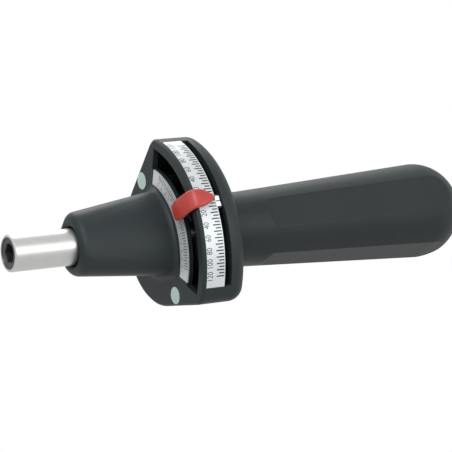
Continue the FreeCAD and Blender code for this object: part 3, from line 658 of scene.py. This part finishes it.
class TORQUE_OT_pointer(bpy.types.Operator):
    """A soft saddle: thumb block in front of the head, bridge over the rim, point at the index"""

    bl_idname = "torque.pointer"
    bl_label = "Drag pointer"

    def execute(self, context):
        pointer = context.scene.torque_pointer
        front, tip = span("drag_pointer")
        low, high = radii("drag_pointer")
        under, back = high - pointer.thickness, front + pointer.thumb
        fall, nib = tip - 5.5 * MM, tip - 2.6 * MM
        lip, brow = low + 1.5 * MM, high - 8 * MM
        # one entry for each station, from the thumb block's inner end over the rim to the point
        point_top = under + pointer.nib
        outer_x = [front + 0.9 * MM, front, front, front + 1.3 * MM, back, fall, nib, tip]
        outer_r = [low, lip, brow, high - 3.2 * MM, high - 0.9 * MM, high, high - 0.6 * MM, point_top]
        inner_x = [back, back, back, back, back, fall, nib, tip]
        inner_r = [low, lip, brow, high - 4 * MM, under, under, under, under]
        halves = [pointer.half_width * share for share in (0.72, 0.9, 1, 1, 1, 0.95, 0.6, 0.1)]
        centre = middle_angle("drag_pointer")

        def place(point):
            across, height = 2 * point.x, 2 * point.z - 1
            squeezed = across * math.sqrt(1 - pointer.softness * height * height / 2)
            level = (1 + height * math.sqrt(1 - pointer.softness * across * across / 2)) / 2
            x = between(inner_x, point.y) * (1 - level) + between(outer_x, point.y) * level
            radius = between(inner_r, point.y) * (1 - level) + between(outer_r, point.y) * level
            return dial_point(x, radius, centre + squeezed * between(halves, point.y) / radius)

        block = bar(1.0, 1.0, 1.0)
        subdivide(block, SADDLE_CUTS)
        piece = bent_copy(block, place)
        delete(block)
        piece.name = "pointer_saddle"
        make_active(piece)
        bpy.ops.object.modifier_add(type="SUBSURF")
        piece.modifiers[-1].levels = 2
        bpy.ops.object.modifier_apply(modifier=piece.modifiers[-1].name)
        bpy.ops.object.shade_smooth()
        dress(piece, pointer_plastic("saddle plastic", context.scene.torque_finish.pointer))
        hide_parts("drag_pointer")
        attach(piece, "drag_pointer")
        return {"FINISHED"}


# ------------------------------------------------------------------ stage


# name, place, target, size and power of each soft lamp
LAMPS = (
    ("key", (-0.55, -0.75, 0.75), (0.06, 0.0, 0.0), (0.5, 0.5), 9.0),
    ("fill", (0.45, -0.80, 0.10), (0.08, 0.0, 0.0), (0.6, 0.5), 3.5),
    ("rim", (0.15, 0.45, 0.70), (0.08, 0.0, 0.0), (0.7, 0.3), 5.0),
)
AMBIENT = 0.55
FLOOR_SIZE = 0.40  # small, so that low cameras look over its edge
FLOOR_GAP = 0.4 * MM
FLAT_FROM_STEM_END = 26.0 * MM  # end of the rear housing's stem to about the middle of its flat


def area_lamp(name, place, target, size, power):
    lamp = bpy.data.lights.new(name, "AREA")
    lamp.shape = "RECTANGLE"
    lamp.size, lamp.size_y = size
    lamp.energy = power
    holder = bpy.data.objects.new(name, lamp)
    holder.location = place
    holder.rotation_euler = (Vector(target) - Vector(place)).to_track_quat("-Z", "Y").to_euler()
    bpy.context.collection.objects.link(holder)


def white_to_camera(shader):
    """Mixes a plain white glow into a stage surface where the camera or a reflection sees it."""
    path = shader.node("ShaderNodeLightPath")
    seen = Signal(shader, path.outputs["Is Camera Ray"]) + Signal(shader, path.outputs["Is Glossy Ray"])
    seen = seen + Signal(shader, path.outputs["Is Transmission Ray"])
    glow = shader.node("ShaderNodeEmission", {}, {"Color": (1, 1, 1, 1), "Strength": 1.0})
    mixed = shader.node(
        "ShaderNodeMixShader",
        {},
        {0: seen, 1: shader.surface.outputs["BSDF"], 2: glow.outputs["Emission"]},
    )
    shader.tree.links.new(mixed.outputs["Shader"], shader.out.inputs["Surface"])


def larger(tree, first, second):
    """The larger of two outputs of a node tree."""
    node = tree.nodes.new("ShaderNodeMath")
    node.operation = "MAXIMUM"
    tree.links.new(first, node.inputs[0])
    tree.links.new(second, node.inputs[1])
    return node.outputs[0]


class TORQUE_OT_stage(bpy.types.Operator):
    """Pale floor, soft lamps and the camera"""

    bl_idname = "torque.stage"
    bl_label = "Studio stage"

    def execute(self, context):
        self.floor()
        for lamp in LAMPS:
            area_lamp(*lamp)
        self.world(context.scene)
        self.camera(context.scene)
        context.scene.view_settings.view_transform = "Standard"
        return {"FINISHED"}

    def floor(self):
        """A floor close under the head's flat side and the round end of the handle."""
        head_low, head_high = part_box("rear_housing")
        grip_low, grip_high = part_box("handle_grip")
        end_radius = -grip_low[2]
        end_x = grip_high[0] - end_radius
        head_x = head_high[0] - FLAT_FROM_STEM_END
        slope = math.atan2(-head_low[2] - end_radius, end_x - head_x)
        deselect()
        bpy.ops.mesh.primitive_grid_add(x_subdivisions=8, y_subdivisions=8, size=FLOOR_SIZE)
        floor = bpy.context.object
        floor.name = "studio_floor"
        floor.rotation_euler = (0.0, -slope, 0.0)
        floor.location = (head_x, 0.0, head_low[2] - FLOOR_GAP)
        bpy.ops.object.transform_apply(location=True, rotation=True, scale=True)
        shader = Shader("studio white")
        grain = shader.noise(40.0, 2.0)
        shader.set(Base_Color=shader.mix(grain, (0.86, 0.86, 0.86), (0.90, 0.90, 0.90)), Roughness=0.9)
        white_to_camera(shader)
        dress(floor, shader.material)

    def world(self, scene):
        """White to the camera and to reflections, and a weaker soft light on everything else."""
        world = bpy.data.worlds.new("studio world")
        scene.world = world
        world.use_nodes = True
        tree = world.node_tree
        tree.nodes.clear()
        path = tree.nodes.new("ShaderNodeLightPath").outputs
        direct = larger(tree, path["Is Camera Ray"], path["Is Glossy Ray"])
        strength = tree.nodes.new("ShaderNodeMapRange")
        strength.inputs["To Min"].default_value = AMBIENT
        strength.inputs["To Max"].default_value = 1.0
        tree.links.new(larger(tree, direct, path["Is Transmission Ray"]), strength.inputs["Value"])
        background = tree.nodes.new("ShaderNodeBackground")
        background.inputs["Color"].default_value = (1.0, 1.0, 1.0, 1.0)
        tree.links.new(strength.outputs["Result"], background.inputs["Strength"])
        output = tree.nodes.new("ShaderNodeOutputWorld")
        tree.links.new(background.outputs["Background"], output.inputs["Surface"])

    def camera(self, scene):
        view = scene.torque_stage
        lens = bpy.data.cameras.new("camera")
        lens.lens = view.lens
        lens.sensor_width = 36.0
        lens.clip_start = 0.01
        camera = bpy.data.objects.new("camera", lens)
        heading = Vector((math.sin(view.azimuth), math.cos(view.azimuth), 0.0))
        right = Vector((heading.y, -heading.x, 0.0))
        up = Vector((0.0, 0.0, 1.0))
        rolled_right = right * math.cos(view.roll) + up * math.sin(view.roll)
        rolled_up = up * math.cos(view.roll) - right * math.sin(view.roll)
        turn = Matrix((rolled_right, rolled_up, -heading)).transposed().to_4x4()
        camera.matrix_world = Matrix.Translation(Vector(view.camera)) @ turn
        scene.collection.objects.link(camera)
        scene.camera = camera


# ------------------------------------------------------------------ panel and registration


class TORQUE_PT_dress(bpy.types.Panel):
    bl_label = "Torque screwdriver"
    bl_space_type = "VIEW_3D"
    bl_region_type = "UI"
    bl_category = "Torque"

    def draw(self, context):
        layout = self.layout
        scene = context.scene
        for settings in SETTINGS:
            group = getattr(scene, settings)
            box = layout.box()
            for name in group.bl_rna.properties.keys():
                if name not in {"rna_type", "name"}:
                    box.prop(group, name)
        for operator in OPERATORS:
            layout.operator(operator.bl_idname)


SETTINGS = {
    "torque_dial": DialSettings,
    "torque_index": IndexSettings,
    "torque_pointer": PointerSettings,
    "torque_finish": FinishSettings,
    "torque_stage": StageSettings,
}
OPERATORS = (
    TORQUE_OT_finishes,
    TORQUE_OT_rear_print,
    TORQUE_OT_front_print,
    TORQUE_OT_index_marks,
    TORQUE_OT_pointer,
    TORQUE_OT_stage,
)


def register():
    for name, group in SETTINGS.items():
        bpy.utils.register_class(group)
        setattr(bpy.types.Scene, name, PointerProperty(type=group))
    for operator in OPERATORS:
        bpy.utils.register_class(operator)
    bpy.utils.register_class(TORQUE_PT_dress)


def unregister():
    bpy.utils.unregister_class(TORQUE_PT_dress)
    for operator in reversed(OPERATORS):
        bpy.utils.unregister_class(operator)
    for name, group in SETTINGS.items():
        delattr(bpy.types.Scene, name)
        bpy.utils.unregister_class(group)


def main():
    register()
    bpy.ops.torque.finishes()
    bpy.ops.torque.rear_print()
    bpy.ops.torque.front_print()
    bpy.ops.torque.index_marks()
    bpy.ops.torque.pointer()
    bpy.ops.torque.stage()


if __name__ == "__main__":
    main()
